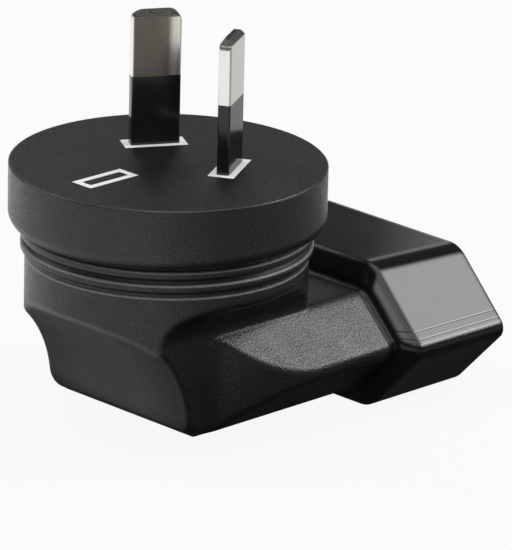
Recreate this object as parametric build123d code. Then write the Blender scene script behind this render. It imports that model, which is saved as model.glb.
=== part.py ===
"""Right-angle plug adapter: a round two-blade plug above a hooded two-pin socket.

The origin is the centre of the plug face. +Z points out along the blades, and +X
points out of the socket's mouth. All sizes are in millimetres.
"""

import os
from math import atan2, cos, degrees, hypot, radians, sin, sqrt

from build123d import *

# Plug disc and ribbed collar
FACE_RADIUS = 20.05
FACE_WALL = 6.2
FACE_RIM = 0.15
FACE_EDGE_ROUND = 2.0
BEAD_RADIUS = 18.45
GROOVE_RADIUS = 17.75
BEAD_PITCH = 1.7
BEAD_RISE = 0.4
BEAD_FALL = 0.6
BEAD_COUNT = 2

# Grip body under the collar
BODY_RADIUS = 17.9
BODY_SHOULDER = 0.5
BODY_BOTTOM_Z = -32.0
REAR_BOTTOM_ROUND = 3.7
REAR_SCOOP_RADIUS = 15.4
REAR_WALL_X = -8.6
REAR_SCOOP_AXIS_Z = -31.0
SIDE_WALL_Y = 12.7
SIDE_SCOOP_TOP_Z = -14.4
SIDE_SCOOP_RADIUS = 4.2
SIDE_BOTTOM_ROUND = 1.6
GRIP_EDGE_ROUND = 1.25

# Six-sided arm that carries the socket
SOCKET_AXIS_Z = -25.4
ARM_HALF_WIDTH = 18.4
ARM_TIP = 19.1
ARM_FLAT = 12.4
ARM_CORNER_ROUND = 2.5
ARM_BLEND_RADIUS = 4.0
ARM_LAP = 1.0
ARM_EDGE_ROUND = 1.2
ARM_END_CHAMFER = 0.4
ARM_NOSE_X = 9.8
ARM_END_X = 22.3

# Glossy hood
NECK_INSET = 0.35
NECK_TIP_ROUND = 1.65
FLARE_START_X = 23.2
FLARE_LIP = 0.6
FLARE_EDGE = 0.25
FLARE_STEP = 0.1
HOOD_BACK_X = 24.3
HOOD_MOUTH_X = 40.5
HOOD_BACK_TOP_Z = -15.7
HOOD_MOUTH_TOP_Z = -16.55
HOOD_BOTTOM_Z = -35.2
HOOD_FLAT = 12.5
HOOD_SPREAD = 0.969
HOOD_CORNER_ROUND = 3.9
HOOD_TIP_ROUND = 1.7
HOOD_BACK_EDGE = 0.35
HOOD_RIM_CHAMFER = 0.3
RIM_WALL = 1.5
RECESS_DEPTH = 11.5
RECESS_DRAFT = 0.45
SEAT_LEDGE = 0.2
INNER_ROUND = 0.5
INSERT_CLEARANCE = 0.1

# Socket insert and contacts
PIN_PITCH = 19.0
SOCKET_HOLE_RADIUS = 2.6
SOCKET_LEAD_IN = 0.4
FLOOR_THICKNESS = 3.2
CHAMBER_RADIUS = 3.2
CHAMBER_WALL = 1.2
BLOCK_BACK_X = 8.2
CAP_THICKNESS = 3.0
PLUG_RADIUS = 3.3
PLUG_CLEARANCE = 0.1
PLUG_HEIGHT = 2.0
CONTACT_BORE_RADIUS = 2.1
CONTACT_WALL = 0.7
CONTACT_LENGTH = 12.0
CONTACT_SLIT = 0.6

# Plug blades, their sleeves and the white carrier
BLADE_RADIUS = 7.92
BLADE_ANGLE = 60.0
BLADE_WIDTH = 6.35
BLADE_THICKNESS = 1.63
BLADE_LENGTH = 17.55
BLADE_CORNER = 1.6
BLADE_BEVEL = 0.9
BLADE_LAND = 0.6
BLADE_TURN = 30.0
BLADE_EDGE = 0.25
SLEEVE_LENGTH = 9.0
SLEEVE_WALL = 0.4
FRAME_WALL = 0.88
EARTH_RADIUS = 10.8
CARRIER_RADIUS = 16.0
CARRIER_TOP_Z = -2.8
CARRIER_THICKNESS = 4.0
SLEEVE_SEAT = 1.2

# Brass links
LINK_TOP_Z = -12.0
LINK_THICKNESS = 0.9
LINK_WIDTH = 5.0
LEG_WIDTH = 3.4
LEG_REACH = 2.3
TENON_WIDTH = 3.0
TENON_PROUD = 0.3

# Sizes that follow from the ones above
FACE_BOTTOM_Z = -(FACE_WALL + FACE_EDGE_ROUND)
COLLAR_BOTTOM_Z = FACE_BOTTOM_Z - BEAD_COUNT * BEAD_PITCH
HEAD_BOTTOM_Z = COLLAR_BOTTOM_Z - 2 * BODY_SHOULDER
ARM_HALF_HEIGHT = SOCKET_AXIS_Z - BODY_BOTTOM_Z
ARM_TOP_Z = SOCKET_AXIS_Z + ARM_HALF_HEIGHT
FLOOR_X = HOOD_MOUTH_X - RECESS_DEPTH
FLANGE_BACK_X = FLOOR_X - FLOOR_THICKNESS
FLOOR_INSET = RIM_WALL + RECESS_DRAFT
SEAT_INSET = FLOOR_INSET + SEAT_LEDGE
PIN_Y = PIN_PITCH / 2
BARREL_RADIUS = CHAMBER_RADIUS + CHAMBER_WALL
CONTACT_RADIUS = CONTACT_BORE_RADIUS + CONTACT_WALL
CORE_WIDTH = BLADE_WIDTH - 2 * SLEEVE_WALL
CORE_THICKNESS = BLADE_THICKNESS - 2 * SLEEVE_WALL
CARRIER_BOTTOM_Z = CARRIER_TOP_Z - CARRIER_THICKNESS
SLEEVE_FOOT_Z = CARRIER_TOP_Z - SLEEVE_SEAT
FRAME_LENGTH = BLADE_WIDTH + 2 * FRAME_WALL
FRAME_WIDTH = BLADE_THICKNESS + 2 * FRAME_WALL
BLADE_X = BLADE_RADIUS * cos(radians(BLADE_ANGLE))
BLADE_Y = BLADE_RADIUS * sin(radians(BLADE_ANGLE))
LINK_BOTTOM_Z = LINK_TOP_Z - LINK_THICKNESS
LEG_X = BLOCK_BACK_X - LINK_THICKNESS / 2
CAP_BACK_X = BLOCK_BACK_X - CAP_THICKNESS
SIDES = {"active": -1, "neutral": 1}
TOLERANCE = 0.01


def section_plane(x):
    """Plane across the socket axis at x, with local axes along Y and Z."""
    return Plane((x, 0, 0), x_dir=(0, 1, 0), z_dir=(1, 0, 0))


def hexagon_points(top, bottom, flat, tip, inset=0.0):
    """Corners of a six-sided outline with its tips at mid height, all sides moved in by inset."""
    middle = (top + bottom) / 2
    half = (top - bottom) / 2
    width = tip - flat
    slope = hypot(half, width)
    flat -= inset * (slope - width) / half
    tip -= inset * slope / half
    top -= inset
    bottom += inset
    return [(flat, top), (tip, middle), (flat, bottom), (-flat, bottom), (-tip, middle), (-flat, top)]


def rounded_hexagon(x, points, corner_round, tip_round):
    """Six-sided section at x with rounded corners."""
    rounds = [corner_round, tip_round, corner_round] * 2
    outline = FilletPolyline(*points, radius=rounds, close=True)
    return section_plane(x) * make_face(outline)


def edges_at_x(shape, x):
    """Edges of a shape that lie in the plane at x."""
    boxes = [(edge, edge.bounding_box()) for edge in shape.edges()]
    return [edge for edge, box in boxes if abs(box.min.X - x) + box.size.X < TOLERANCE]


def bar_along_x(section, x_end, x_start):
    """Extrude a section drawn at x_start towards x_end."""
    return extrude(section, amount=x_end - x_start, dir=(1, 0, 0))


def box_between(low, high):
    """Box between two opposite corners."""
    size = [b - a for a, b in zip(low, high)]
    middle = [(a + b) / 2 for a, b in zip(low, high)]
    return Pos(*middle) * Box(*size)


def rod_along_x(y, radius, x_start, x_end):
    """Round bar along X at the height of the socket axis."""
    section = Plane((x_start, y, SOCKET_AXIS_Z), x_dir=(0, 1, 0), z_dir=(1, 0, 0)) * Circle(radius)
    return extrude(section, amount=x_end - x_start, dir=(1, 0, 0))


def barrel_bar(x_start, x_end, clearance=0.0):
    """Round-ended bar along X that houses both contacts."""
    section = SlotCenterToCenter(PIN_PITCH, 2 * (BARREL_RADIUS + clearance))
    plane = Plane((x_start, 0, SOCKET_AXIS_Z), x_dir=(0, 1, 0), z_dir=(1, 0, 0))
    return extrude(plane * section, amount=x_end - x_start, dir=(1, 0, 0))


def upright(section, z_low, z_high):
    """Extrude a flat section between two heights."""
    return extrude(Pos(0, 0, z_low) * section, amount=z_high - z_low)


def at_blade(shape, side):
    """Move a shape, drawn with its width along X, to the blade of one side."""
    return Pos(BLADE_X, side * BLADE_Y, 0) * Rot(0, 0, -side * BLADE_TURN) * shape


# Outer form of the overmould
def plug_head():
    """Plug disc with its rounded lower edge and the beaded collar, as one revolve."""
    edge_inner = FACE_RADIUS - FACE_EDGE_ROUND
    rim_start = (FACE_RADIUS - FACE_RIM, 0)
    disc = Polyline((0, 0), rim_start, (FACE_RADIUS, -FACE_RIM), (FACE_RADIUS, -FACE_WALL))
    edge = TangentArc((FACE_RADIUS, -FACE_WALL), (edge_inner, FACE_BOTTOM_Z), tangent=(0, -1))
    collar = [(edge_inner, FACE_BOTTOM_Z)]
    for bead in range(BEAD_COUNT):
        top = FACE_BOTTOM_Z - bead * BEAD_PITCH
        collar += [
            (GROOVE_RADIUS, top),
            (BEAD_RADIUS, top - BEAD_RISE),
            (BEAD_RADIUS, top - BEAD_PITCH + BEAD_FALL),
        ]
    collar += [
        (GROOVE_RADIUS, COLLAR_BOTTOM_Z),
        (BODY_RADIUS, COLLAR_BOTTOM_Z - BODY_SHOULDER),
        (BODY_RADIUS, HEAD_BOTTOM_Z),
        (0, HEAD_BOTTOM_Z),
        (0, 0),
    ]
    profile = Plane.XZ * make_face([disc, edge, Polyline(*collar)])
    return revolve(profile, Axis.Z)


def rear_scoop():
    """Tool that cuts the concave sweep across the back of the grip and its rounded lower edge."""
    reach = 2 * BODY_RADIUS
    axis_x = REAR_WALL_X - REAR_SCOOP_RADIUS
    round_z = BODY_BOTTOM_Z + REAR_BOTTOM_ROUND
    rise = round_z - REAR_SCOOP_AXIS_Z
    centres = REAR_SCOOP_RADIUS + REAR_BOTTOM_ROUND
    toe_x = axis_x + sqrt(centres**2 - rise**2)
    share = REAR_SCOOP_RADIUS / centres
    meeting = (axis_x + share * (toe_x - axis_x), REAR_SCOOP_AXIS_Z + share * rise)
    top = (axis_x, REAR_SCOOP_AXIS_Z + REAR_SCOOP_RADIUS)
    low_z = 2 * BODY_BOTTOM_Z
    sweep = TangentArc(top, meeting, tangent=(1, 0))
    lower = TangentArc((toe_x, BODY_BOTTOM_Z), meeting, tangent=(-1, 0))
    rest = Polyline(
        (toe_x, BODY_BOTTOM_Z), (toe_x, low_z), (axis_x - reach, low_z), (axis_x - reach, top[1]), top
    )
    profile = Plane.XZ * make_face([sweep, lower, rest])
    return extrude(profile, amount=reach, both=True)


def side_scoop():
    """Tool that cuts the +Y finger scoop: a cove above a straight wall with a rounded lower edge."""
    reach = 2 * BODY_RADIUS
    round_z = BODY_BOTTOM_Z + SIDE_BOTTOM_ROUND
    toe_y = SIDE_WALL_Y - SIDE_BOTTOM_ROUND
    low_z = 2 * BODY_BOTTOM_Z
    cove = FilletPolyline(
        (reach, SIDE_SCOOP_TOP_Z),
        (SIDE_WALL_Y, SIDE_SCOOP_TOP_Z),
        (SIDE_WALL_Y, round_z),
        radius=[SIDE_SCOOP_RADIUS],
    )
    lower = TangentArc((SIDE_WALL_Y, round_z), (toe_y, BODY_BOTTOM_Z), tangent=(0, -1))
    rest = Polyline((toe_y, BODY_BOTTOM_Z), (toe_y, low_z), (reach, low_z), (reach, SIDE_SCOOP_TOP_Z))
    profile = section_plane(0) * make_face([cove, lower, rest])
    return extrude(profile, amount=reach, both=True)


def arm_plan():
    """Outline of the arm from above: straight sides, a round nose and a soft run into the side walls."""
    centres = ARM_HALF_WIDTH + ARM_BLEND_RADIUS
    blend_y = SIDE_WALL_Y + ARM_BLEND_RADIUS
    run = sqrt(centres**2 - blend_y**2)
    blend_x = ARM_NOSE_X - run
    share = ARM_HALF_WIDTH / centres
    meeting = (ARM_NOSE_X - share * run, share * blend_y)
    back_x = blend_x - ARM_LAP
    hollow = TangentArc((blend_x, SIDE_WALL_Y), meeting, tangent=(1, 0))
    nose = TangentArc((ARM_NOSE_X, ARM_HALF_WIDTH), meeting, tangent=(-1, 0))
    rest = Polyline(
        (ARM_NOSE_X, ARM_HALF_WIDTH),
        (ARM_END_X, ARM_HALF_WIDTH),
        (ARM_END_X, 0),
        (back_x, 0),
        (back_x, SIDE_WALL_Y),
        (blend_x, SIDE_WALL_Y),
    )
    half = make_face([hollow, nose, rest])
    return half + mirror(half, Plane.XZ)


def arm():
    """Six-sided bar with its tips cut off flat and a round nose that runs out into the side walls."""
    back_x = -2 * BODY_RADIUS
    points = hexagon_points(ARM_TOP_Z, BODY_BOTTOM_Z, ARM_FLAT, ARM_TIP)
    bar = bar_along_x(rounded_hexagon(back_x, points, ARM_CORNER_ROUND, 0), ARM_END_X, back_x)
    bar &= upright(arm_plan(), BODY_BOTTOM_Z, ARM_TOP_Z)
    sides = (SIDE_WALL_Y, ARM_HALF_WIDTH)
    rim = []
    for edge in bar.edges():
        size = edge.bounding_box().size
        straight = edge.geom_type == GeomType.LINE
        on_side = any(abs(abs(edge.center().Y) - side) < TOLERANCE for side in sides)
        if size.X > TOLERANCE and (on_side or not straight):
            rim.append(edge)
    bar = fillet(rim, ARM_EDGE_ROUND)
    return chamfer(edges_at_x(bar, ARM_END_X), ARM_END_CHAMFER)


def grip_core():
    """Round body with its three scoops, softened along the edges that they leave."""
    height = HEAD_BOTTOM_Z - BODY_BOTTOM_Z
    core = Pos(0, 0, BODY_BOTTOM_Z + height / 2) * Cylinder(BODY_RADIUS, height)
    core -= rear_scoop()
    core -= side_scoop()
    core -= mirror(side_scoop(), Plane.XZ)
    low = BODY_BOTTOM_Z + TOLERANCE
    high = SIDE_SCOOP_TOP_Z + TOLERANCE
    curved = core.edges().filter_by(GeomType.LINE, reverse=True)
    edges = [edge for edge in curved if low < edge.center().Z < high]
    return fillet(edges, GRIP_EDGE_ROUND)


def overmould_form():
    """Outside of the overmould, before the inner pieces are taken out."""
    return plug_head() + grip_core() + arm()


# Hood and socket insert
def hood_points(x, inset=0.0):
    """Corners of the hood's outline at x, moved in by inset."""
    share = (x - HOOD_BACK_X) / (HOOD_MOUTH_X - HOOD_BACK_X)
    top = HOOD_BACK_TOP_Z + share * (HOOD_MOUTH_TOP_Z - HOOD_BACK_TOP_Z)
    tip = HOOD_FLAT + HOOD_SPREAD * (top - HOOD_BOTTOM_Z) / 2
    return hexagon_points(top, HOOD_BOTTOM_Z, HOOD_FLAT, tip, inset)


def hood_prism(start_x, start_inset, end_x, end_inset):
    """Six flat sides along the hood, moved in by an inset at each end, with rounded long edges."""
    ends = []
    for x, inset in ((start_x, start_inset), (end_x, end_inset)):
        ends.append([(x, y, z) for y, z in hood_points(x, inset)])
    quads = []
    for i in range(len(ends[0])):
        quads.append([ends[0][i - 1], ends[0][i], ends[1][i], ends[1][i - 1]])
    prism = Solid(Shell([make_face(Polyline(*corners, close=True)).face() for corners in ends + quads]))
    inset = min(start_inset, end_inset)
    tip_round = max(HOOD_TIP_ROUND - inset, INNER_ROUND)
    for tips, radius in ((False, HOOD_CORNER_ROUND - inset), (True, tip_round)):
        long_edges = [edge for edge in prism.edges() if edge.bounding_box().size.X > (end_x - start_x) / 2]
        chosen = [edge for edge in long_edges if (abs(edge.center().Y) > HOOD_FLAT + TOLERANCE) == tips]
        prism = fillet(chosen, radius)
    return prism


def hood_section(x, size_x, inset):
    """Rounded section at x with the outline that the hood has at size_x, moved in by inset."""
    tip_round = max(HOOD_TIP_ROUND - inset, INNER_ROUND)
    return rounded_hexagon(x, hood_points(size_x, inset), HOOD_CORNER_ROUND - inset, tip_round)


def neck_section(x, inset):
    """Outline of the arm at x, with rounded tips, moved in by inset."""
    points = hexagon_points(ARM_TOP_Z, BODY_BOTTOM_Z, ARM_FLAT, ARM_TIP, inset)
    return rounded_hexagon(x, points, ARM_CORNER_ROUND - inset, NECK_TIP_ROUND - inset)


def socket_hood():
    """Six-sided shroud on a flared back, with a drafted recess and a seat for the insert."""
    hood = hood_prism(HOOD_BACK_X, 0, HOOD_MOUTH_X, 0)
    hood = chamfer(edges_at_x(hood, HOOD_BACK_X), HOOD_BACK_EDGE)
    flare_end = hood_section(HOOD_BACK_X, HOOD_BACK_X, HOOD_BACK_EDGE + FLARE_STEP)
    flare = loft([neck_section(FLARE_START_X, -FLARE_LIP), flare_end], ruled=True)
    hood += chamfer(edges_at_x(flare, FLARE_START_X), FLARE_EDGE)
    hood += bar_along_x(neck_section(ARM_END_X, NECK_INSET), FLARE_START_X, ARM_END_X)
    hood -= hood_prism(FLOOR_X, FLOOR_INSET, HOOD_MOUTH_X, RIM_WALL)
    hood -= bar_along_x(hood_section(FLANGE_BACK_X, FLOOR_X, SEAT_INSET), FLOOR_X, FLANGE_BACK_X)
    hood -= barrel_bar(ARM_END_X, FLANGE_BACK_X, INSERT_CLEARANCE)
    return chamfer(edges_at_x(hood, HOOD_MOUTH_X), HOOD_RIM_CHAMFER)


def contact_block():
    """Socket floor with its two holes, on a barrel that holds the contacts."""
    flange_inset = SEAT_INSET + INSERT_CLEARANCE
    block = bar_along_x(hood_section(FLANGE_BACK_X, FLOOR_X, flange_inset), FLOOR_X, FLANGE_BACK_X)
    block += barrel_bar(BLOCK_BACK_X, FLANGE_BACK_X)
    for side in SIDES.values():
        block -= rod_along_x(side * PIN_Y, CHAMBER_RADIUS, BLOCK_BACK_X, FLANGE_BACK_X)
        block -= rod_along_x(side * PIN_Y, SOCKET_HOLE_RADIUS, FLANGE_BACK_X, FLOOR_X)
    face_circles = block.edges().filter_by(GeomType.CIRCLE).group_by(Axis.X)[-1]
    mouths = [edge for edge in face_circles if abs(edge.radius - SOCKET_HOLE_RADIUS) < TOLERANCE]
    block = chamfer(mouths, SOCKET_LEAD_IN)
    return block - rod_along_x(0, PLUG_RADIUS + PLUG_CLEARANCE, FLOOR_X - PLUG_HEIGHT, FLOOR_X)


def blanking_plug():
    """Round disc, flush in the middle of the socket floor."""
    return rod_along_x(0, PLUG_RADIUS, FLOOR_X - PLUG_HEIGHT, FLOOR_X)


def contact(side):
    """Sleeve with a slit along its outer side, behind one socket hole."""
    end_x = BLOCK_BACK_X + CONTACT_LENGTH
    tube = rod_along_x(side * PIN_Y, CONTACT_RADIUS, BLOCK_BACK_X, end_x)
    tube -= rod_along_x(side * PIN_Y, CONTACT_BORE_RADIUS, BLOCK_BACK_X, end_x)
    slit_y = sorted([side * PIN_Y, side * (PIN_Y + 2 * CONTACT_RADIUS)])
    return tube - box_between(
        (BLOCK_BACK_X, slit_y[0], SOCKET_AXIS_Z - CONTACT_SLIT / 2),
        (end_x, slit_y[1], SOCKET_AXIS_Z + CONTACT_SLIT / 2),
    )


# Blades, sleeves and carrier
def blade_section():
    """Outer section that the blade and its sleeve share."""
    return RectangleRounded(BLADE_WIDTH, BLADE_THICKNESS, BLADE_EDGE)


def blade_core():
    """Section of the blade inside its sleeve."""
    return Rectangle(CORE_WIDTH, CORE_THICKNESS)


def tenon():
    """Section of the riveted foot of a blade."""
    return Rectangle(TENON_WIDTH, CORE_THICKNESS)


def pin(side):
    """Flat blade with a rounded, bevelled end, a thinner core in the sleeve and a foot in the link."""
    head = upright(blade_section(), SLEEVE_LENGTH, BLADE_LENGTH)
    half_width = BLADE_WIDTH / 2
    half_thickness = BLADE_THICKNESS / 2
    outline = FilletPolyline(
        (-half_width, SLEEVE_LENGTH),
        (-half_width, BLADE_LENGTH),
        (half_width, BLADE_LENGTH),
        (half_width, SLEEVE_LENGTH),
        radius=[0, BLADE_CORNER, BLADE_CORNER, 0],
        close=True,
    )
    head &= extrude(Plane.XZ * make_face(outline), amount=BLADE_THICKNESS, both=True)
    bevel_z = BLADE_LENGTH - BLADE_BEVEL
    wedge = Polyline(
        (-half_thickness, SLEEVE_LENGTH),
        (-half_thickness, bevel_z),
        (-BLADE_LAND / 2, BLADE_LENGTH),
        (BLADE_LAND / 2, BLADE_LENGTH),
        (half_thickness, bevel_z),
        (half_thickness, SLEEVE_LENGTH),
        close=True,
    )
    head &= extrude(section_plane(0) * make_face(wedge), amount=BLADE_WIDTH, both=True)
    blade = head + upright(blade_core(), LINK_TOP_Z, SLEEVE_LENGTH)
    blade += upright(tenon(), LINK_BOTTOM_Z - TENON_PROUD, LINK_TOP_Z)
    return at_blade(blade, side)


def sleeve(side):
    """Insulating sleeve, flush with the blade above it."""
    hollow = blade_section() - blade_core()
    return at_blade(upright(hollow, SLEEVE_FOOT_Z, SLEEVE_LENGTH), side)


def pin_carrier():
    """White disc under the plug face, with three rectangular collars that reach it."""
    frame = Rectangle(FRAME_LENGTH, FRAME_WIDTH)
    collar = upright(frame, CARRIER_TOP_Z, 0)
    carrier = upright(Circle(CARRIER_RADIUS), CARRIER_BOTTOM_Z, CARRIER_TOP_Z)
    carrier += Pos(-EARTH_RADIUS, 0, 0) * collar
    carrier -= Pos(-EARTH_RADIUS, 0, 0) * upright(blade_section(), CARRIER_BOTTOM_Z, 0)
    for side in SIDES.values():
        carrier += at_blade(collar, side)
        carrier -= at_blade(upright(blade_section(), SLEEVE_FOOT_Z, 0), side)
        carrier -= at_blade(upright(blade_core(), CARRIER_BOTTOM_Z, SLEEVE_FOOT_Z), side)
    return carrier


# Inner connections
def link(side):
    """Brass strip from the foot of a blade, bent down behind the contact."""
    run_x = LEG_X - BLADE_X
    run_y = PIN_Y - BLADE_Y
    turn = side * degrees(atan2(run_y, run_x))
    middle = Pos((LEG_X + BLADE_X) / 2, side * (PIN_Y + BLADE_Y) / 2, 0)
    strip = middle * Rot(0, 0, turn) * SlotCenterToCenter(hypot(run_x, run_y), LINK_WIDTH)
    plate = upright(strip, LINK_BOTTOM_Z, LINK_TOP_Z)
    plate -= at_blade(upright(tenon(), LINK_BOTTOM_Z, LINK_TOP_Z), side)
    leg = box_between(
        (BLOCK_BACK_X - LINK_THICKNESS, side * PIN_Y - LEG_WIDTH / 2, SOCKET_AXIS_Z - LEG_REACH),
        (BLOCK_BACK_X, side * PIN_Y + LEG_WIDTH / 2, LINK_TOP_Z),
    )
    return plate + leg


def contact_block_cap():
    """Plate behind the contacts, grooved for both links."""
    cap = barrel_bar(CAP_BACK_X, BLOCK_BACK_X)
    for side in SIDES.values():
        cap -= link(side)
    return cap


def body_overmould():
    """Black moulding around the carrier, the blades, the links and the barrel."""
    body = overmould_form() - barrel_bar(CAP_BACK_X, ARM_END_X)
    body -= pin_carrier()
    for side in SIDES.values():
        body -= sleeve(side)
        body -= pin(side)
        body -= link(side)
    return body


def main():
    """Write one STEP file for each piece."""
    pieces = {
        "body_overmould": body_overmould(),
        "socket_hood": socket_hood(),
        "contact_block": contact_block(),
        "contact_block_cap": contact_block_cap(),
        "blanking_plug": blanking_plug(),
        "pin_carrier": pin_carrier(),
    }
    for name, side in SIDES.items():
        pieces[name + "_pin"] = pin(side)
        pieces[name + "_pin_sleeve"] = sleeve(side)
        pieces[name + "_contact"] = contact(side)
        pieces[name + "_link"] = link(side)
    os.makedirs("parts", exist_ok=True)
    for node, shape in pieces.items():
        export_step(shape, f"parts/{node}.step")


if __name__ == "__main__":
    main()
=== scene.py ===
"""Looks of the plug adapter: moulded plastics, plated blades and a small photo studio.

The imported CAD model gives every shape. All sizes here are in metres, in the frame of that
model: the plug face is at height 0, the blades point up and the socket opens towards +X.
"""

from math import cos, pi, radians, sin

import bpy
from bpy.props import FloatProperty, FloatVectorProperty, PointerProperty
from mathutils import Matrix, Vector


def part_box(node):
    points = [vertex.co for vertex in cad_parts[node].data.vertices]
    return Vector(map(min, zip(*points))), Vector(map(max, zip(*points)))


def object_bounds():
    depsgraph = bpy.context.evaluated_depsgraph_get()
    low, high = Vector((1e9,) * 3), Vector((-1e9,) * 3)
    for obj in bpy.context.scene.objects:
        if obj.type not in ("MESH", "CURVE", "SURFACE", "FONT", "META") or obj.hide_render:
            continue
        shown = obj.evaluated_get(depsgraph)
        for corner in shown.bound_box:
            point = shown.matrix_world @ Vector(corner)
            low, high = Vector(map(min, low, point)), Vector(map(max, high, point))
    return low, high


bl_info = {
    "name": "Plug adapter looks",
    "version": (1, 0, 0),
    "blender": (4, 5, 0),
    "location": "View3D > Sidebar > Adapter",
    "description": "Finishes and studio stage for the packed plug adapter",
    "category": "Material",
}

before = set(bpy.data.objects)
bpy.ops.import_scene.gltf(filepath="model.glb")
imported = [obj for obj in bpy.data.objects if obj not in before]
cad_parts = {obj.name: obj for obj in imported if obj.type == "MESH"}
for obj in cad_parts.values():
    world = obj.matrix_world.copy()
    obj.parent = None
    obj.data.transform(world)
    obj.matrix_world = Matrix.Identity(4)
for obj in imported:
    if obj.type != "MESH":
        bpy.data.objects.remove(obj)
CAD_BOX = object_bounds()

MM = 0.001
FLOOR_GAP = 0.02 * MM
FLOOR_Z = CAD_BOX[0][2] - FLOOR_GAP
SENSOR_WIDTH = 36.0
CLIP_START = 0.01
CLIP_END = 50.0
WHITE = (1.0, 1.0, 1.0, 1.0)

# Cloudy patterns: fineness, and the values between which most of a pattern lies
NOISE_ROUGHNESS = 0.55
CLOUDY = (0.3, 0.7)

# Softened edges: samples, and likeness of the softened and true directions on faces and edges
BEVEL_SAMPLES = 6
EDGE_LIKENESS = (0.995, 0.85)

# Grain of the body, by the values of its pattern, and the patches in which edges are worn
GRAIN_CRESTS = (0.42, 0.62)
GRAIN_SHEEN = (0.4, 0.65)
SHEEN_CHANGE = 0.08
PATCH_GRAINS = 20
WORN_PATCHES = (0.35, 0.65)
WORN_SHARES = (0.3, 0.9)

# Rear scoop of the body, which is polished where the rest is grained, and painted paler with light
SCOOP_AXIS_X = -24.0 * MM
SCOOP_AXIS_Z = -31.0 * MM
SCOOP_RADIUS = 15.4 * MM
SCOOP_BAND = 0.4 * MM
SCOOP_SIDES = (5 * MM, 12 * MM)
SCOOP_SIDE_POLISH_AND_LIGHT = 0.45
SCOOP_GRAIN = 0.1

# Painted highlights on the crests of the collar's two beads and of the shoulder below them, by
# height
CREST_HEIGHTS = (-8.6 * MM, -10.3 * MM, -12.1 * MM)
CREST_WIDTH = 0.2 * MM
CREST_GRAIN = (0.3, 0.6)
CREST_SHARES = (0.5, 1.0)

# Heights between which the edges grow softer, from the plug disc down to the grip
SOFTER_EDGES = (-6.5 * MM, -8.5 * MM)

# Fine lines on the hood's upper slopes, by their height over the middle of the hood
HOOD_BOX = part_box("socket_hood")
HOOD_MIDDLE_Z = (HOOD_BOX[0].z + HOOD_BOX[1].z) / 2
HOOD_TAPER = 0.026
LINE_HEIGHTS = (1.55 * MM, 2.35 * MM)
LINE_WIDTH = 0.07 * MM

# Smears on the hood: their width in waves, and the values of their pattern that show
SMEAR_WAVES = 2.5
SMEARED = (0.45, 0.75)

# Patches of the insert in grains, and the duller part of the carrier's pattern
INSERT_PATCH_GRAINS = 15
CARRIER_DULL = (0.5, 0.8)

# Mottling of the floor
MOTTLE_SIZE = 50 * MM
MOTTLE_DIM = 0.97

# Floor as reflections show it: white behind the object, dimmer in front and dark under the hood
GLOW_AZIMUTH = 125
GLOW_TURN = (-0.7, 0.0)
GLOW_DIM = 0.35
HOOD_SHADE_CENTRE = (25 * MM, -5 * MM, 0)
HOOD_SHADE = (45 * MM, 65 * MM)
HOOD_SHADE_DIM = 0.08

# Lamps: setting of the brightness, direction and height in degrees, distance and size
LAMPS = {
    "key_softbox": ("key", (328, 36), 0.9, (0.6, 0.6)),
    "overhead_softbox": ("overhead", (225, 86), 1.0, (1.0, 1.0)),
    "strip_softbox": ("strip", (322, 24), 0.9, (0.5, 0.14)),
    "front_softbox": ("front", (222, 44), 1.1, (1.0, 0.6)),
    "hood_panel": ("hood_panel", (36.9, 18), 1.3, (0.23, 0.46)),
    "disc_panel": ("disc_panel", (62, 21), 1.3, (0.52, 0.55)),
    "rear_softbox": ("rear", (118, 38), 1.0, (0.7, 0.6)),
}

# Middle of a lamp in its own coordinates, which run from 0 to 1
LAMP_MIDDLE = 0.5

# Blade ends, bare and rough from the shear, with tears measured in streaks of the plate
BLADE_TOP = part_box("active_pin")[1].z
SHEAR_DEPTH = 0.9 * MM
SHEAR_RAGGED = 0.12 * MM
SHEAR_ROUGHNESS = 0.2
TEAR_STREAKS = 0.6
TEAR_DEPTH = 60.0
TEAR_CRESTS = (0.35, 0.65)

# Painted dark reflection, on the wide faces of the far blade up to a line across it
BLADE_TURN = pi / 6
DARK_REFLECTION_ACROSS = (cos(BLADE_TURN), -sin(BLADE_TURN), 0)
DARK_REFLECTION_FACING = (sin(BLADE_TURN), cos(BLADE_TURN), 0)
DARK_REFLECTION_TURN = (0.8, 0.95)
DARK_REFLECTION_EDGE = (1.9 * MM, 2.7 * MM)
DARK_REFLECTION_RAGGED = 1.0 * MM

# Stains on the brass, by the values of their pattern, and the fine marks in each
STAIN_DARK = (0.45, 0.7)
STAIN_DULL = (0.4, 0.7)
STAIN_ROUGHNESS = 0.15
STAIN_MARKS = 12


# Settings that a user may change
def length(name, description, default):
    """Length setting in metres."""
    return FloatProperty(
        name=name, description=description, default=default, min=0, unit="LENGTH", precision=5
    )


def share(name, description, default):
    """Setting between 0 and 1."""
    return FloatProperty(
        name=name, description=description, default=default, min=0, max=1, subtype="FACTOR"
    )


def amount(name, description, default):
    """Plain number setting."""
    return FloatProperty(name=name, description=description, default=default, min=0)


def angle(name, description, degrees):
    """Angle setting, given in degrees."""
    return FloatProperty(
        name=name, description=description, default=radians(degrees), subtype="ANGLE"
    )


def colour(name, description, default):
    """Colour setting."""
    return FloatVectorProperty(
        name=name, description=description, default=default, size=3, min=0, max=1, subtype="COLOR"
    )


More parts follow.
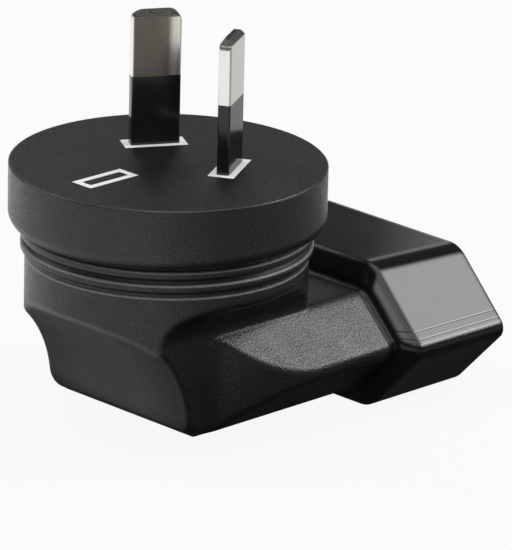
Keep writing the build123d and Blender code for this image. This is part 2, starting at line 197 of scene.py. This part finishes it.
class OvermouldFinish(bpy.types.PropertyGroup):
    """Grained matte black of the body"""

    base: colour("Colour", "Colour of the moulding", (0.0025, 0.0025, 0.0027))
    crest: colour("Crest colour", "Colour of the bumps of the grain", (0.0115, 0.0115, 0.012))
    worn: colour("Worn colour", "Paler colour where edges are rubbed", (0.03, 0.03, 0.0315))
    roughness: share("Roughness", "Roughness of the grained skin", 0.34)
    polish: share("Scoop roughness", "Roughness of the polished rear scoop", 0.32)
    specular: share("Specular", "Strength of the skin's reflections", 0.56)
    # Colour of the painted highlights along the collar's crests
    crest_highlight: colour("Rubbed colour", "Colour of the collar's crests", (0.30, 0.30, 0.303))
    # Painted light: the paler colour of the rear scoop stands for the light falling on it
    polished: colour("Scoop colour", "Colour of the polished rear scoop", (0.11, 0.11, 0.112))
    grain_size: length("Grain size", "Distance between the bumps of the grain", 0.22 * MM)
    grain_depth: length("Grain depth", "Height of the bumps of the grain", 0.05 * MM)
    edge: length("Edge radius", "Softening of the sharp edges", 0.3 * MM)
    grip_edge: length("Grip edge radius", "Softening of the broad edges below the collar", 0.6 * MM)


class HoodFinish(bpy.types.PropertyGroup):
    """Polished black of the socket hood"""

    base: colour("Colour", "Colour of the polished plastic", (0.006, 0.006, 0.0065))
    roughness: share("Roughness", "Roughness of the polish", 0.07)
    smear: share("Smears", "Extra roughness where the polish has been handled", 0.05)
    wave_size: length("Wave size", "Width of the faint waves in the polish", 4 * MM)
    wave_depth: length("Wave depth", "Height of the faint waves in the polish", 0.004 * MM)
    edge: length("Edge radius", "Softening of the corners", 1.0 * MM)
    line_depth: length("Line depth", "Depth of the two fine lines beside each tip", 0.015 * MM)


class InsertFinish(bpy.types.PropertyGroup):
    """Satin black of the socket insert"""

    base: colour("Colour", "Colour of the insert", (0.016, 0.016, 0.0165))
    roughness: share("Roughness", "Roughness of the satin skin", 0.38)
    grain_size: length("Grain size", "Distance between the bumps of the grain", 0.2 * MM)
    grain_depth: length("Grain depth", "Height of the bumps of the grain", 0.006 * MM)


class CarrierFinish(bpy.types.PropertyGroup):
    """White plastic of the pin carrier"""

    base: colour("Colour", "Colour of the carrier", (0.80, 0.80, 0.79))
    shade: colour("Shaded colour", "Colour of its duller patches", (0.70, 0.70, 0.68))
    roughness: share("Roughness", "Roughness of the carrier", 0.42)
    patch_size: length("Patch size", "Width of the duller patches", 0.8 * MM)
    patch_depth: length("Patch depth", "Height of the duller patches", 0.01 * MM)


class SleeveFinish(bpy.types.PropertyGroup):
    """Black plastic of the pin sleeves"""

    base: colour("Colour", "Colour of the sleeves", (0.010, 0.010, 0.011))
    roughness: share("Roughness", "Roughness of the sleeves", 0.13)
    streak_size: length("Streak size", "Width of the drawn streaks", 0.25 * MM)
    streak_depth: length("Streak depth", "Depth of the drawn streaks", 0.001 * MM)


class BladeFinish(bpy.types.PropertyGroup):
    """Nickel plate of the blades"""

    base: colour("Colour", "Colour of the plate", (0.86, 0.84, 0.81))
    # Colour of the painted dark reflection on the far blade's wide faces
    dark_reflection: colour("Tarnish", "Colour of the smoked blade", (0.24, 0.215, 0.185))
    bare: colour("Bare colour", "Colour of the hollows in the sheared ends", (0.015, 0.015, 0.014))
    torn: colour("Torn colour", "Colour of the crests in the sheared ends", (0.16, 0.155, 0.145))
    roughness: share("Roughness", "Roughness of the plate", 0.22)
    streak_size: length("Streak size", "Width of the brushed streaks", 0.3 * MM)
    streak_depth: length("Streak depth", "Depth of the brushed streaks", 0.001 * MM)
    edge: length("Edge radius", "Softening of the sharp edges", 0.1 * MM)


class BrassFinish(bpy.types.PropertyGroup):
    """Brass of the contacts and links"""

    base: colour("Colour", "Colour of the brass", (0.60, 0.42, 0.16))
    stain: colour("Stain", "Colour of the tarnish", (0.32, 0.20, 0.08))
    roughness: share("Roughness", "Roughness of the brass", 0.34)
    stain_size: length("Stain size", "Width of the tarnished patches", 2 * MM)
    mark_depth: length("Mark depth", "Depth of the fine marks", 0.004 * MM)


class StudioSettings(bpy.types.PropertyGroup):
    """Camera, floor and lamps"""

    azimuth: angle("Camera azimuth", "Direction of the camera seen from above, from +X", 225.287)
    elevation: angle("Camera elevation", "Height of the camera above the horizon", 18.93)
    roll: angle("Camera roll", "Turn of the camera about its view", 1.39)
    distance: length("Camera distance", "Distance from the camera to its aim", 0.74)
    aim: FloatVectorProperty(
        name="Aim",
        description="Point in the middle of the picture",
        default=(4.832 * MM, -11.156 * MM, -13.205 * MM),
        subtype="XYZ",
        unit="LENGTH",
    )
    lens: amount("Lens", "Focal length in millimetres", 387.3)
    floor: colour("Floor colour", "Colour of the seamless floor", (0.44, 0.44, 0.44))
    floor_size: length("Floor size", "Side of the floor", 6.0)
    shadow: share("Shadow", "Share of the floor's own shading that the camera sees", 0.08)
    ambient: amount("Ambient", "Brightness of the room", 0.08)
    key: amount("Key", "Brightness of the key softbox", 5.9)
    overhead: amount("Overhead", "Brightness of the overhead softbox", 2.8)
    strip: amount("Strip", "Brightness of the low strip beside the key softbox", 8.0)
    front: amount("Front", "Brightness of the softbox above the camera", 2.8)
    hood_panel: amount("Hood panel", "Brightness of the panel mirrored by the hood's top", 0.7)
    disc_panel: amount("Disc panel", "Brightness of the panel mirrored by the plug face", 1.1)
    rear: amount("Rear", "Brightness of the softbox at the far side", 4.0)
    soft_edge: share("Soft edge", "Share of a softbox that fades out at each border", 0.2)


# Node helpers
def fill_socket(tree, socket, value):
    """Link another node's output to a socket, or set its plain value."""
    if isinstance(value, bpy.types.NodeSocket):
        tree.links.new(value, socket)
    else:
        socket.default_value = value


def fill(tree, node, **sockets):
    """Fill or link a node's inputs by name."""
    for name, value in sockets.items():
        fill_socket(tree, node.inputs[name.replace("_", " ")], value)


def put(tree, kind, settings=None, **sockets):
    """Add a node, set its options, and fill or link its inputs by name."""
    node = tree.nodes.new("ShaderNode" + kind)
    for option, value in (settings or {}).items():
        setattr(node, option, value)
    fill(tree, node, **sockets)
    return node


def calculate(tree, kind, operation, values):
    """Node that works out an operation on its inputs, given in order."""
    node = put(tree, kind, {"operation": operation})
    for socket, value in zip(node.inputs, values):
        fill_socket(tree, socket, value)
    return node


def maths(tree, operation, *values):
    """Result of a Math node."""
    return calculate(tree, "Math", operation, values).outputs["Value"]


def vector_maths(tree, operation, *values):
    """Vector that a Vector Math node works out."""
    return calculate(tree, "VectorMath", operation, values).outputs["Vector"]


def vector_measure(tree, operation, *values):
    """Number that a Vector Math node works out."""
    return calculate(tree, "VectorMath", operation, values).outputs["Value"]


def remap(tree, value, low, high, to_low, to_high):
    """Value moved from one range to another, and kept inside it."""
    node = put(
        tree, "MapRange", Value=value, From_Min=low, From_Max=high, To_Min=to_low, To_Max=to_high
    )
    return node.outputs["Result"]


def mixed(tree, factor, first, second):
    """Colour between two others."""
    node = put(tree, "Mix", {"data_type": "RGBA"})
    fill_socket(tree, node.inputs["Factor"], factor)
    for socket, value in zip([s for s in node.inputs if s.type == "RGBA"], (first, second)):
        fill_socket(tree, socket, value)
    return next(s for s in node.outputs if s.type == "RGBA")


def opaque(rgb):
    """Colour with full alpha, as the sockets want it."""
    return (*rgb, 1.0)


def coordinates(tree):
    """Place on the object, in metres."""
    return put(tree, "TexCoord").outputs["Object"]


def height_at(tree, place):
    """Height of a place."""
    return put(tree, "SeparateXYZ", Vector=place).outputs["Z"]


def noise(tree, place, size, detail=2.0):
    """Cloudy pattern with features of about one size."""
    node = put(
        tree, "TexNoise", Vector=place, Scale=1 / size, Detail=detail, Roughness=NOISE_ROUGHNESS
    )
    return node.outputs["Fac"]


def uneven(tree, pattern, level, fall, rise):
    """Level that a cloudy pattern moves down and up a little."""
    return remap(tree, pattern, *CLOUDY, level - fall, level + rise)


def lines_at(tree, height, middles, width):
    """Mask of thin lines at some heights, fading to both sides."""
    mask = None
    for middle in middles:
        away = maths(tree, "ABSOLUTE", maths(tree, "SUBTRACT", height, middle))
        line = remap(tree, away, 0.0, width, 1.0, 0.0)
        mask = line if mask is None else maths(tree, "MAXIMUM", mask, line)
    return mask


def streaks(tree, place, size, stretch):
    """Cloudy pattern drawn out along the blades."""
    drawn = put(tree, "Mapping", Vector=place, Scale=(1, 1, 1 / stretch))
    return noise(tree, drawn.outputs["Vector"], size, detail=4.0)


def rounded_normal(tree, radius):
    """Surface direction with its sharp edges softened."""
    return put(tree, "Bevel", {"samples": BEVEL_SAMPLES}, Radius=radius).outputs["Normal"]


def edge_mask(tree, soft_normal):
    """Mask of the edges, from how far the softened direction leaves the true one."""
    true_normal = put(tree, "NewGeometry").outputs["Normal"]
    likeness = vector_measure(tree, "DOT_PRODUCT", soft_normal, true_normal)
    return remap(tree, likeness, *EDGE_LIKENESS, 0.0, 1.0)


def bump(tree, height, depth, normal=None):
    """Surface direction bent by a height pattern."""
    node = put(tree, "Bump", Strength=1.0, Distance=depth, Height=height)
    if normal is not None:
        tree.links.new(normal, node.inputs["Normal"])
    return node.outputs["Normal"]


def new_material(name):
    """Empty material, its node tree and its surface shader."""
    material = bpy.data.materials.new(name)
    material.use_nodes = True
    return material, material.node_tree, material.node_tree.nodes["Principled BSDF"]


def dress(nodes, material):
    """Give CAD nodes their material."""
    for node in nodes:
        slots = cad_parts[node].material_slots
        if not slots:
            raise RuntimeError(f"{node} has no material slot")
        for slot in slots:
            slot.material = material


# Finishes
def scoop_mask(tree, place):
    """Mask of the rear scoop, polished and painted paler with light, by the distance from its axis.
    """
    parts = put(tree, "SeparateXYZ", Vector=place)
    across = maths(tree, "SUBTRACT", parts.outputs["X"], SCOOP_AXIS_X)
    along = maths(tree, "SUBTRACT", parts.outputs["Z"], SCOOP_AXIS_Z)
    squares = [maths(tree, "MULTIPLY", side, side) for side in (across, along)]
    radius = maths(tree, "SQRT", maths(tree, "ADD", *squares))
    away = maths(tree, "ABSOLUTE", maths(tree, "SUBTRACT", radius, SCOOP_RADIUS))
    inside = remap(tree, away, SCOOP_BAND, 2 * SCOOP_BAND, 1.0, 0.0)
    aside = maths(tree, "ABSOLUTE", parts.outputs["Y"])
    middle = remap(tree, aside, *SCOOP_SIDES, 1.0, SCOOP_SIDE_POLISH_AND_LIGHT)
    return maths(tree, "MULTIPLY", inside, middle)


def grained_black(finish):
    """Matte black with a spark-eroded grain, rubbed edges, painted highlights on the collar's
    crests and a polished rear scoop painted paler with light.
    """
    material, tree, shader = new_material("grained_black")
    place = coordinates(tree)
    height = height_at(tree, place)
    grain = noise(tree, place, finish.grain_size, detail=1.0)
    patches = noise(tree, place, PATCH_GRAINS * finish.grain_size)
    scoop = scoop_mask(tree, place)

    # Edges, softer on the grip and worn in patches
    edge = remap(tree, height, *SOFTER_EDGES, finish.edge, finish.grip_edge)
    soft = rounded_normal(tree, edge)
    rubbing = remap(tree, patches, *WORN_PATCHES, *WORN_SHARES)
    worn = maths(tree, "MULTIPLY", edge_mask(tree, soft), rubbing)

    # Colours of the grain, the scoop's painted light, the edges and the painted highlights on the
    # collar's crests
    raised = remap(tree, grain, *GRAIN_CRESTS, 0.0, 1.0)
    grained = mixed(tree, raised, opaque(finish.base), opaque(finish.crest))
    scoop_lit = mixed(tree, scoop, grained, opaque(finish.polished))
    edged = mixed(tree, worn, scoop_lit, opaque(finish.worn))
    lines = lines_at(tree, height, CREST_HEIGHTS, CREST_WIDTH)
    crests = maths(tree, "MULTIPLY", lines, remap(tree, grain, *CREST_GRAIN, *CREST_SHARES))

    # Roughness of the patches, less the scoop's polish, with the sheen of the grain
    skin = uneven(tree, patches, finish.roughness, fall=0.04, rise=0.05)
    polish = maths(tree, "MULTIPLY", scoop, finish.roughness - finish.polish)
    sheen = remap(tree, grain, *GRAIN_SHEEN, SHEEN_CHANGE, -SHEEN_CHANGE)
    smooth = maths(tree, "SUBTRACT", skin, polish)

    # Bumps of the grain, nearly flat in the scoop
    bumps = maths(tree, "MULTIPLY", grain, remap(tree, scoop, 0.0, 1.0, 1.0, SCOOP_GRAIN))
    fill(
        tree,
        shader,
        Base_Color=mixed(tree, crests, edged, opaque(finish.crest_highlight)),
        Roughness=maths(tree, "ADD", smooth, sheen),
        Normal=bump(tree, bumps, finish.grain_depth, soft),
        Specular_IOR_Level=finish.specular,
    )
    return material


def tip_lines(tree, place):
    """Two fine grooves along each upper slope of the hood, as a depth between 0 and 1."""
    parts = put(tree, "SeparateXYZ", Vector=place)
    from_rear = maths(tree, "SUBTRACT", parts.outputs["X"], HOOD_BOX[0].x)
    fall = maths(tree, "MULTIPLY", from_rear, HOOD_TAPER)
    over_middle = maths(tree, "SUBTRACT", parts.outputs["Z"], HOOD_MIDDLE_Z)
    height = maths(tree, "ADD", over_middle, fall)
    return lines_at(tree, height, LINE_HEIGHTS, LINE_WIDTH)


def polished_black(finish):
    """Glossy black with faint waves, handling smears and fine lines beside the tips."""
    material, tree, shader = new_material("polished_black")
    place = coordinates(tree)
    waves = noise(tree, place, finish.wave_size, detail=1.0)
    smears = noise(tree, place, SMEAR_WAVES * finish.wave_size, detail=5.0)
    smeared = remap(tree, smears, *SMEARED, finish.roughness, finish.roughness + finish.smear)
    wavy = bump(tree, waves, finish.wave_depth, rounded_normal(tree, finish.edge))
    raised = maths(tree, "SUBTRACT", 1.0, tip_lines(tree, place))
    lined = bump(tree, raised, finish.line_depth, wavy)
    fill(tree, shader, Base_Color=opaque(finish.base), Roughness=smeared, Normal=lined)
    return material


def satin_black(finish):
    """Fine satin black of the socket floor."""
    material, tree, shader = new_material("satin_black")
    place = coordinates(tree)
    grain = noise(tree, place, finish.grain_size, detail=3.0)
    patches = noise(tree, place, INSERT_PATCH_GRAINS * finish.grain_size)
    skin = uneven(tree, patches, finish.roughness, fall=0.05, rise=0.07)
    grained = bump(tree, grain, finish.grain_depth)
    fill(tree, shader, Base_Color=opaque(finish.base), Roughness=skin, Normal=grained)
    return material


def carrier_white(finish):
    """Clean white plastic with a slightly uneven shade."""
    material, tree, shader = new_material("carrier_white")
    patches = noise(tree, coordinates(tree), finish.patch_size, detail=4.0)
    dull = remap(tree, patches, *CARRIER_DULL, 0.0, 1.0)
    shaded = mixed(tree, dull, opaque(finish.base), opaque(finish.shade))
    patchy = bump(tree, patches, finish.patch_depth)
    fill(tree, shader, Base_Color=shaded, Roughness=finish.roughness, Normal=patchy)
    return material


def sleeve_black(finish):
    """Half-gloss black with streaks along the sleeve."""
    material, tree, shader = new_material("sleeve_black")
    drawn = streaks(tree, coordinates(tree), finish.streak_size, stretch=12)
    skin = uneven(tree, drawn, finish.roughness, fall=0.03, rise=0.04)
    streaked = bump(tree, drawn, finish.streak_depth)
    fill(tree, shader, Base_Color=opaque(finish.base), Roughness=skin, Normal=streaked)
    return material


def nickel_plate(finish):
    """Brushed nickel with dark, rough ends, and a painted dark reflection on the far blade's wide
    faces.
    """
    material, tree, shader = new_material("nickel_plate")
    place = coordinates(tree)
    drawn = streaks(tree, place, finish.streak_size, stretch=25)
    tears = noise(tree, place, TEAR_STREAKS * finish.streak_size)
    soft = rounded_normal(tree, finish.edge)

    # Sheared ends, with a ragged border
    ragged = maths(tree, "MULTIPLY_ADD", tears, SHEAR_RAGGED, height_at(tree, place))
    start = BLADE_TOP - SHEAR_DEPTH + SHEAR_RAGGED / 2
    bare = remap(tree, ragged, start, start + SHEAR_RAGGED, 0.0, 1.0)
    crests = remap(tree, tears, *TEAR_CRESTS, 0.0, 1.0)
    sheared = mixed(tree, crests, opaque(finish.bare), opaque(finish.torn))

    # Painted dark reflection, up to a streaky line and on the wide faces only
    across = vector_measure(tree, "DOT_PRODUCT", place, DARK_REFLECTION_ACROSS)
    streaky = maths(tree, "MULTIPLY_ADD", drawn, DARK_REFLECTION_RAGGED, across)
    within = remap(tree, streaky, *DARK_REFLECTION_EDGE, 1.0, 0.0)
    turned = maths(tree, "ABSOLUTE", vector_measure(tree, "DOT_PRODUCT", soft, DARK_REFLECTION_FACING))
    reflection_darkened = maths(tree, "MULTIPLY", within, remap(tree, turned, *DARK_REFLECTION_TURN, 0.0, 1.0))
    plate = mixed(tree, reflection_darkened, opaque(finish.base), opaque(finish.dark_reflection))

    # Brushed streaks, with deep tears in the ends
    streaked = uneven(tree, drawn, finish.roughness, fall=0.03, rise=0.04)
    torn = maths(tree, "MULTIPLY", tears, bare)
    relief = maths(tree, "MULTIPLY_ADD", torn, TEAR_DEPTH, drawn)
    fill(
        tree,
        shader,
        Base_Color=mixed(tree, bare, plate, sheared),
        Roughness=maths(tree, "MULTIPLY_ADD", bare, SHEAR_ROUGHNESS, streaked),
        Normal=bump(tree, relief, finish.streak_depth, soft),
        Metallic=1.0,
    )
    return material


def stained_brass(finish):
    """Brass with patches of tarnish."""
    material, tree, shader = new_material("stained_brass")
    place = coordinates(tree)
    stains = noise(tree, place, finish.stain_size, detail=5.0)
    marks = noise(tree, place, finish.stain_size / STAIN_MARKS, detail=3.0)
    dark = remap(tree, stains, *STAIN_DARK, 0.0, 1.0)
    stained = mixed(tree, dark, opaque(finish.base), opaque(finish.stain))
    dull = remap(tree, stains, *STAIN_DULL, finish.roughness, finish.roughness + STAIN_ROUGHNESS)
    marked = bump(tree, marks, finish.mark_depth)
    fill(tree, shader, Base_Color=stained, Roughness=dull, Normal=marked, Metallic=1.0)
    return material


# Studio
def direction(azimuth, elevation):
    """Unit vector towards a compass direction, from +X, and a height above the horizon."""
    return Vector((cos(elevation) * cos(azimuth), cos(elevation) * sin(azimuth), sin(elevation)))


def facing(place, outward):
    """Placement whose +Z looks along outward and whose +Y stays upright."""
    return Matrix.Translation(place) @ outward.to_track_quat("Z", "Y").to_matrix().to_4x4()


def add_camera(studio):
    """Camera at the photograph's view."""
    data = bpy.data.cameras.new("studio_camera")
    data.sensor_width = SENSOR_WIDTH
    data.lens = studio.lens
    data.clip_start = CLIP_START
    data.clip_end = CLIP_END
    camera = bpy.data.objects.new("studio_camera", data)
    outward = direction(studio.azimuth, studio.elevation)
    placed = facing(Vector(studio.aim) + studio.distance * outward, outward)
    camera.matrix_world = placed @ Matrix.Rotation(studio.roll, 4, "Z")
    bpy.context.scene.collection.objects.link(camera)
    bpy.context.scene.camera = camera


def softbox(name, degrees, distance, size, radiance, fade):
    """Rectangular lamp, given by its compass direction and height, facing the object."""
    data = bpy.data.lights.new(name, "AREA")
    data.shape = "RECTANGLE"
    data.size, data.size_y = size
    data.energy = radiance * pi * size[0] * size[1]
    data.use_nodes = True
    tree = data.node_tree
    across = put(tree, "SeparateXYZ", Vector=put(tree, "NewGeometry").outputs["Parametric"])
    edges = []
    for axis in ("X", "Y"):
        offset = maths(tree, "SUBTRACT", across.outputs[axis], LAMP_MIDDLE)
        away = maths(tree, "ABSOLUTE", offset)
        edges.append(remap(tree, away, LAMP_MIDDLE - fade, LAMP_MIDDLE, 1.0, 0.0))
    fill(tree, tree.nodes["Emission"], Strength=maths(tree, "MULTIPLY", *edges))
    lamp = bpy.data.objects.new(name, data)
    outward = direction(*(radians(value) for value in degrees))
    middle = (Vector(CAD_BOX[0]) + Vector(CAD_BOX[1])) / 2
    lamp.matrix_world = facing(middle + distance * outward, outward)
    bpy.context.scene.collection.objects.link(lamp)


def floor_glow(tree, place):
    """Brightness of the floor in reflections, by direction and by distance from the hood."""
    level = vector_maths(tree, "MULTIPLY", place, (1, 1, 0))
    heading = vector_maths(tree, "NORMALIZE", level)
    ahead = vector_measure(tree, "DOT_PRODUCT", heading, direction(radians(GLOW_AZIMUTH), 0))
    away = vector_measure(tree, "DISTANCE", level, HOOD_SHADE_CENTRE)
    behind = remap(tree, ahead, *GLOW_TURN, GLOW_DIM, 1.0)
    clear = remap(tree, away, *HOOD_SHADE, HOOD_SHADE_DIM, 1.0)
    return maths(tree, "MULTIPLY", behind, clear)


def mixed_shaders(tree, factor, first, second):
    """Blend of two shaders."""
    node = put(tree, "MixShader", Fac=factor)
    tree.links.new(first, node.inputs[1])
    tree.links.new(second, node.inputs[2])
    return node.outputs["Shader"]


def floor_material(studio):
    """Pale matte, white to the camera but for a faint shadow, and graded in reflections."""
    material = bpy.data.materials.new("seamless_floor")
    material.use_nodes = True
    tree = material.node_tree
    tree.nodes.clear()
    place = coordinates(tree)
    clouds = noise(tree, place, MOTTLE_SIZE, detail=4.0)
    mottled = remap(tree, clouds, *CLOUDY, MOTTLE_DIM, 1.0)
    tint = put(tree, "VectorMath", {"operation": "SCALE"}, Scale=mottled)
    fill_socket(tree, tint.inputs[0], studio.floor)
    matte = put(tree, "BsdfDiffuse", Color=tint.outputs["Vector"]).outputs["BSDF"]
    rays = put(tree, "LightPath").outputs
    shiny = maths(tree, "MAXIMUM", rays["Is Glossy Ray"], rays["Is Transmission Ray"])
    mirrored = maths(tree, "MULTIPLY", shiny, floor_glow(tree, place))
    seen = maths(tree, "MULTIPLY", rays["Is Camera Ray"], 1 - studio.shadow)
    glow = maths(tree, "MAXIMUM", rays["Is Camera Ray"], mirrored)
    white = put(tree, "Emission", Strength=glow).outputs["Emission"]
    surface = mixed_shaders(tree, maths(tree, "MAXIMUM", seen, shiny), matte, white)
    put(tree, "OutputMaterial", Surface=surface)
    return material


def add_floor(studio):
    """Seamless floor under the object."""
    half = studio.floor_size / 2
    corners = [(-half, -half), (half, -half), (half, half), (-half, half)]
    mesh = bpy.data.meshes.new("studio_floor")
    mesh.from_pydata([(x, y, FLOOR_Z) for x, y in corners], [], [(0, 1, 2, 3)])
    mesh.materials.append(floor_material(studio))
    floor = bpy.data.objects.new("studio_floor", mesh)
    bpy.context.scene.collection.objects.link(floor)


def add_world(studio):
    """Dim room for light, and a white one for the camera."""
    world = bpy.data.worlds.new("studio_room")
    world.use_nodes = True
    tree = world.node_tree
    tree.nodes.clear()
    room = put(tree, "Background", Color=WHITE, Strength=studio.ambient).outputs["Background"]
    white = put(tree, "Background", Color=WHITE, Strength=1.0).outputs["Background"]
    camera_ray = put(tree, "LightPath").outputs["Is Camera Ray"]
    put(tree, "OutputWorld", Surface=mixed_shaders(tree, camera_ray, room, white))
    bpy.context.scene.world = world


# Operators
class ADAPTER_OT_dress_overmould(bpy.types.Operator):
    """Give the body its grained black skin"""

    bl_idname = "adapter.dress_overmould"
    bl_label = "Dress body"

    def execute(self, context):
        dress(["body_overmould"], grained_black(context.scene.adapter_overmould))
        return {"FINISHED"}


class ADAPTER_OT_dress_hood(bpy.types.Operator):
    """Give the socket hood its polish"""

    bl_idname = "adapter.dress_hood"
    bl_label = "Dress hood"

    def execute(self, context):
        dress(["socket_hood"], polished_black(context.scene.adapter_hood))
        return {"FINISHED"}


class ADAPTER_OT_dress_insert(bpy.types.Operator):
    """Give the socket insert, its cap and its blanking plug their satin black"""

    bl_idname = "adapter.dress_insert"
    bl_label = "Dress socket insert"

    def execute(self, context):
        pieces = ["contact_block", "contact_block_cap", "blanking_plug"]
        dress(pieces, satin_black(context.scene.adapter_insert))
        return {"FINISHED"}


class ADAPTER_OT_dress_carrier(bpy.types.Operator):
    """Give the pin carrier its white plastic"""

    bl_idname = "adapter.dress_carrier"
    bl_label = "Dress pin carrier"

    def execute(self, context):
        dress(["pin_carrier"], carrier_white(context.scene.adapter_carrier))
        return {"FINISHED"}


class ADAPTER_OT_dress_sleeves(bpy.types.Operator):
    """Give the pin sleeves their half-gloss black"""

    bl_idname = "adapter.dress_sleeves"
    bl_label = "Dress sleeves"

    def execute(self, context):
        pieces = ["active_pin_sleeve", "neutral_pin_sleeve"]
        dress(pieces, sleeve_black(context.scene.adapter_sleeve))
        return {"FINISHED"}


class ADAPTER_OT_dress_blades(bpy.types.Operator):
    """Give the blades their nickel plate"""

    bl_idname = "adapter.dress_blades"
    bl_label = "Dress blades"

    def execute(self, context):
        dress(["active_pin", "neutral_pin"], nickel_plate(context.scene.adapter_blade))
        return {"FINISHED"}


class ADAPTER_OT_dress_brass(bpy.types.Operator):
    """Give the contacts and links their brass"""

    bl_idname = "adapter.dress_brass"
    bl_label = "Dress contacts"

    def execute(self, context):
        pieces = ["active_contact", "neutral_contact", "active_link", "neutral_link"]
        dress(pieces, stained_brass(context.scene.adapter_brass))
        return {"FINISHED"}


class ADAPTER_OT_build_stage(bpy.types.Operator):
    """Set up the floor, the room, the lamps and the camera"""

    bl_idname = "adapter.build_stage"
    bl_label = "Build stage"

    def execute(self, context):
        studio = context.scene.adapter_studio
        add_camera(studio)
        add_floor(studio)
        add_world(studio)
        for name, (setting, degrees, distance, size) in LAMPS.items():
            softbox(name, degrees, distance, size, getattr(studio, setting), studio.soft_edge)
        context.scene.view_settings.view_transform = "Standard"
        return {"FINISHED"}


OPERATORS = (
    ADAPTER_OT_dress_overmould,
    ADAPTER_OT_dress_hood,
    ADAPTER_OT_dress_insert,
    ADAPTER_OT_dress_carrier,
    ADAPTER_OT_dress_sleeves,
    ADAPTER_OT_dress_blades,
    ADAPTER_OT_dress_brass,
    ADAPTER_OT_build_stage,
)

SETTINGS = {
    "adapter_overmould": OvermouldFinish,
    "adapter_hood": HoodFinish,
    "adapter_insert": InsertFinish,
    "adapter_carrier": CarrierFinish,
    "adapter_sleeve": SleeveFinish,
    "adapter_blade": BladeFinish,
    "adapter_brass": BrassFinish,
    "adapter_studio": StudioSettings,
}


class ADAPTER_PT_looks(bpy.types.Panel):
    """Sidebar list of the adapter's pieces and their settings"""

    bl_idname = "ADAPTER_PT_looks"
    bl_label = "Plug adapter"
    bl_space_type = "VIEW_3D"
    bl_region_type = "UI"
    bl_category = "Adapter"

    def draw(self, context):
        for operator, group in zip(OPERATORS, SETTINGS):
            box = self.layout.box()
            box.operator(operator.bl_idname)
            settings = getattr(context.scene, group)
            for name in settings.__annotations__:
                box.prop(settings, name)


def register():
    """Register the settings, the operators and the panel."""
    for name, group in SETTINGS.items():
        bpy.utils.register_class(group)
        setattr(bpy.types.Scene, name, PointerProperty(type=group))
    for item in (*OPERATORS, ADAPTER_PT_looks):
        bpy.utils.register_class(item)


def unregister():
    """Undo register."""
    for item in reversed((*OPERATORS, ADAPTER_PT_looks)):
        bpy.utils.unregister_class(item)
    for name, group in reversed(SETTINGS.items()):
        delattr(bpy.types.Scene, name)
        bpy.utils.unregister_class(group)


def main():
    """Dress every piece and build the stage."""
    register()
    bpy.ops.adapter.dress_overmould()
    bpy.ops.adapter.dress_hood()
    bpy.ops.adapter.dress_insert()
    bpy.ops.adapter.dress_carrier()
    bpy.ops.adapter.dress_sleeves()
    bpy.ops.adapter.dress_blades()
    bpy.ops.adapter.dress_brass()
    bpy.ops.adapter.build_stage()


if __name__ == "__main__":
    main()
